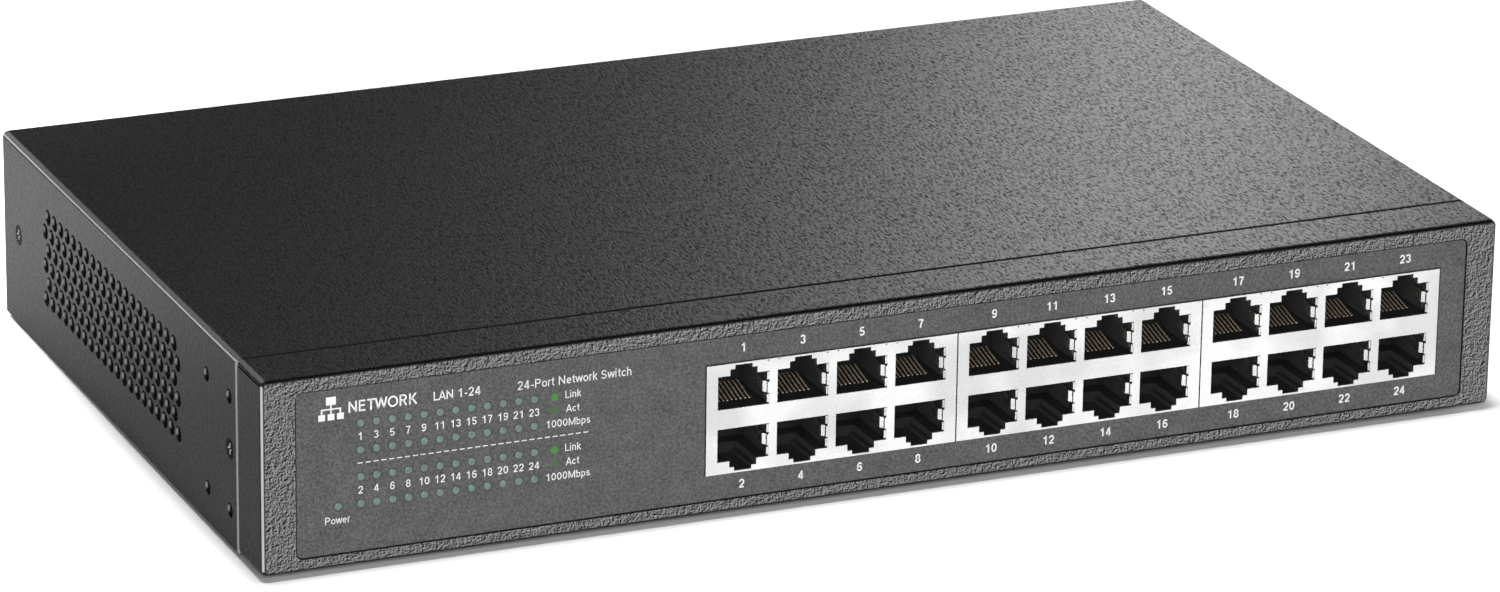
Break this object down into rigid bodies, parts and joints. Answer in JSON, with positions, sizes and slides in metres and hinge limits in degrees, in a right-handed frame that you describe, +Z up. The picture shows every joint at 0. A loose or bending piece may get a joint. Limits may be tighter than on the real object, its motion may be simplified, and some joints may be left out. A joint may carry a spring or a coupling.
{
  "type": "rackmount network switch",
  "caption": "Low steel-cased Ethernet switch with stacked modular jacks, a status-light panel, vented sides and holes for rack ears",
  "frame": {"origin": "middle of the footprint, at the underside of the rubber feet", "axes": "+X to the right as seen from the front, +Y from the jack panel to the rear, +Z up"},
  "size_m": [0.294, 0.18, 0.0452],
  "materials": {
    "chassis_paint": "wrinkle powder coat",
    "cover_paint": "fine textured powder coat",
    "overlay": "fine matt film",
    "lens": "translucent",
    "light_shield": "matt black moulding",
    "led_board": "solder mask",
    "led": "clear resin",
    "main_board": "solder mask",
    "power_board": "bare phenolic",
    "standoff": "zinc",
    "board_screw": "zinc",
    "switch_chip": "moulded epoxy",
    "switch_sink": "satin",
    "phy_chip": "moulded epoxy",
    "phy_sink": "satin",
    "magnetics": "moulded epoxy",
    "capacitor": "sleeved can",
    "inductor": "pressed ferrite",
    "transformer": "ferrite and tape",
    "bulk_capacitor": "sleeved can",
    "power_sink": "mill",
    "choke": "wound ferrite ring",
    "inlet": "moulded",
    "blade": "nickel plated",
    "mains_wire": "PVC insulation",
    "ground_wire": "PVC insulation",
    "dc_wire": "PVC insulation",
    "cover_screw": "black zinc",
    "ground_screw": "zinc",
    "foot": "matt",
    "jack_shield": "bright tin",
    "jack_housing": "moulded",
    "contact": "gold plated"
  },
  "bodies": {
    "switch": {"base_chassis": "chassis_paint", "top_cover": "cover_paint", "front_overlay": "overlay", "led_lenses": "lens", "led_light_shield": "light_shield", "led_board": "led_board", "status_leds": "led", "jack_shield_a": "jack_shield", "jack_shield_b": "jack_shield", "jack_shield_c": "jack_shield", "jack_housing_a": "jack_housing", "jack_housing_b": "jack_housing", "jack_housing_c": "jack_housing", "main_board": "main_board", "power_board": "power_board", "board_standoffs": "standoff", "board_screws": "board_screw", "switch_chip": "switch_chip", "switch_heatsink": "switch_sink", "phy_chips": "phy_chip", "phy_heatsinks": "phy_sink", "lan_transformers": "magnetics", "board_capacitors": "capacitor", "power_inductors": "inductor", "power_transformer": "transformer", "bulk_capacitor": "bulk_capacitor", "power_heatsinks": "power_sink", "mains_filter": "choke", "ac_inlet": "inlet", "inlet_blades": "blade", "mains_wires": "mains_wire", "ground_wire": "ground_wire", "dc_harness": "dc_wire", "cover_screws": "cover_screw", "ground_screw": "ground_screw", "rubber_feet": "foot"},
    "port_01_wires": {"contacts_port_01": "contact"},
    "port_02_wires": {"contacts_port_02": "contact"},
    "port_03_wires": {"contacts_port_03": "contact"},
    "port_04_wires": {"contacts_port_04": "contact"},
    "port_05_wires": {"contacts_port_05": "contact"},
    "port_06_wires": {"contacts_port_06": "contact"},
    "port_07_wires": {"contacts_port_07": "contact"},
    "port_08_wires": {"contacts_port_08": "contact"},
    "port_09_wires": {"contacts_port_09": "contact"},
    "port_10_wires": {"contacts_port_10": "contact"},
    "port_11_wires": {"contacts_port_11": "contact"},
    "port_12_wires": {"contacts_port_12": "contact"},
    "port_13_wires": {"contacts_port_13": "contact"},
    "port_14_wires": {"contacts_port_14": "contact"},
    "port_15_wires": {"contacts_port_15": "contact"},
    "port_16_wires": {"contacts_port_16": "contact"},
    "port_17_wires": {"contacts_port_17": "contact"},
    "port_18_wires": {"contacts_port_18": "contact"},
    "port_19_wires": {"contacts_port_19": "contact"},
    "port_20_wires": {"contacts_port_20": "contact"},
    "port_21_wires": {"contacts_port_21": "contact"},
    "port_22_wires": {"contacts_port_22": "contact"},
    "port_23_wires": {"contacts_port_23": "contact"},
    "port_24_wires": {"contacts_port_24": "contact"}
  },
  "joints": [
    {"name": "port_01_contacts_flex", "type": "hinge", "parent": "switch", "child": "port_01_wires", "pos_m": [-0.03707, -0.0846, 0.0249], "axis": [-1, 0, 0], "range_deg": [0, 11], "stiffness_Nm_per_rad": 0.15},
    {"name": "port_02_contacts_flex", "type": "hinge", "parent": "switch", "child": "port_02_wires", "pos_m": [-0.03707, -0.0846, 0.0207], "axis": [1, 0, 0], "range_deg": [0, 11], "stiffness_Nm_per_rad": 0.15},
    {"name": "port_03_contacts_flex", "type": "hinge", "parent": "switch", "child": "port_03_wires", "pos_m": [-0.02311, -0.0846, 0.0249], "axis": [-1, 0, 0], "range_deg": [0, 11], "stiffness_Nm_per_rad": 0.15},
    {"name": "port_04_contacts_flex", "type": "hinge", "parent": "switch", "child": "port_04_wires", "pos_m": [-0.02311, -0.0846, 0.0207], "axis": [1, 0, 0], "range_deg": [0, 11], "stiffness_Nm_per_rad": 0.15},
    {"name": "port_05_contacts_flex", "type": "hinge", "parent": "switch", "child": "port_05_wires", "pos_m": [-0.00914, -0.0846, 0.0249], "axis": [-1, 0, 0], "range_deg": [0, 11], "stiffness_Nm_per_rad": 0.15},
    {"name": "port_06_contacts_flex", "type": "hinge", "parent": "switch", "child": "port_06_wires", "pos_m": [-0.00914, -0.0846, 0.0207], "axis": [1, 0, 0], "range_deg": [0, 11], "stiffness_Nm_per_rad": 0.15},
    {"name": "port_07_contacts_flex", "type": "hinge", "parent": "switch", "child": "port_07_wires", "pos_m": [0.00483, -0.0846, 0.0249], "axis": [-1, 0, 0], "range_deg": [0, 11], "stiffness_Nm_per_rad": 0.15},
    {"name": "port_08_contacts_flex", "type": "hinge", "parent": "switch", "child": "port_08_wires", "pos_m": [0.00483, -0.0846, 0.0207], "axis": [1, 0, 0], "range_deg": [0, 11], "stiffness_Nm_per_rad": 0.15},
    {"name": "port_09_contacts_flex", "type": "hinge", "parent": "switch", "child": "port_09_wires", "pos_m": [0.0225, -0.0846, 0.0249], "axis": [-1, 0, 0], "range_deg": [0, 11], "stiffness_Nm_per_rad": 0.15},
    {"name": "port_10_contacts_flex", "type": "hinge", "parent": "switch", "child": "port_10_wires", "pos_m": [0.0225, -0.0846, 0.0207], "axis": [1, 0, 0], "range_deg": [0, 11], "stiffness_Nm_per_rad": 0.15},
    {"name": "port_11_contacts_flex", "type": "hinge", "parent": "switch", "child": "port_11_wires", "pos_m": [0.03646, -0.0846, 0.0249], "axis": [-1, 0, 0], "range_deg": [0, 11], "stiffness_Nm_per_rad": 0.15},
    {"name": "port_12_contacts_flex", "type": "hinge", "parent": "switch", "child": "port_12_wires", "pos_m": [0.03646, -0.0846, 0.0207], "axis": [1, 0, 0], "range_deg": [0, 11], "stiffness_Nm_per_rad": 0.15},
    {"name": "port_13_contacts_flex", "type": "hinge", "parent": "switch", "child": "port_13_wires", "pos_m": [0.05044, -0.0846, 0.0249], "axis": [-1, 0, 0], "range_deg": [0, 11], "stiffness_Nm_per_rad": 0.15},
    {"name": "port_14_contacts_flex", "type": "hinge", "parent": "switch", "child": "port_14_wires", "pos_m": [0.05044, -0.0846, 0.0207], "axis": [1, 0, 0], "range_deg": [0, 11], "stiffness_Nm_per_rad": 0.15},
    {"name": "port_15_contacts_flex", "type": "hinge", "parent": "switch", "child": "port_15_wires", "pos_m": [0.06441, -0.0846, 0.0249], "axis": [-1, 0, 0], "range_deg": [0, 11], "stiffness_Nm_per_rad": 0.15},
    {"name": "port_16_contacts_flex", "type": "hinge", "parent": "switch", "child": "port_16_wires", "pos_m": [0.06441, -0.0846, 0.0207], "axis": [1, 0, 0], "range_deg": [0, 11], "stiffness_Nm_per_rad": 0.15},
    {"name": "port_17_contacts_flex", "type": "hinge", "parent": "switch", "child": "port_17_wires", "pos_m": [0.08206, -0.0846, 0.0249], "axis": [-1, 0, 0], "range_deg": [0, 11], "stiffness_Nm_per_rad": 0.15},
    {"name": "port_18_contacts_flex", "type": "hinge", "parent": "switch", "child": "port_18_wires", "pos_m": [0.08206, -0.0846, 0.0207], "axis": [1, 0, 0], "range_deg": [0, 11], "stiffness_Nm_per_rad": 0.15},
    {"name": "port_19_contacts_flex", "type": "hinge", "parent": "switch", "child": "port_19_wires", "pos_m": [0.09603, -0.0846, 0.0249], "axis": [-1, 0, 0], "range_deg": [0, 11], "stiffness_Nm_per_rad": 0.15},
    {"name": "port_20_contacts_flex", "type": "hinge", "parent": "switch", "child": "port_20_wires", "pos_m": [0.09603, -0.0846, 0.0207], "axis": [1, 0, 0], "range_deg": [0, 11], "stiffness_Nm_per_rad": 0.15},
    {"name": "port_21_contacts_flex", "type": "hinge", "parent": "switch", "child": "port_21_wires", "pos_m": [0.11001, -0.0846, 0.0249], "axis": [-1, 0, 0], "range_deg": [0, 11], "stiffness_Nm_per_rad": 0.15},
    {"name": "port_22_contacts_flex", "type": "hinge", "parent": "switch", "child": "port_22_wires", "pos_m": [0.11001, -0.0846, 0.0207], "axis": [1, 0, 0], "range_deg": [0, 11], "stiffness_Nm_per_rad": 0.15},
    {"name": "port_23_contacts_flex", "type": "hinge", "parent": "switch", "child": "port_23_wires", "pos_m": [0.12398, -0.0846, 0.0249], "axis": [-1, 0, 0], "range_deg": [0, 11], "stiffness_Nm_per_rad": 0.15},
    {"name": "port_24_contacts_flex", "type": "hinge", "parent": "switch", "child": "port_24_wires", "pos_m": [0.12398, -0.0846, 0.0207], "axis": [1, 0, 0], "range_deg": [0, 11], "stiffness_Nm_per_rad": 0.15}
  ]
}
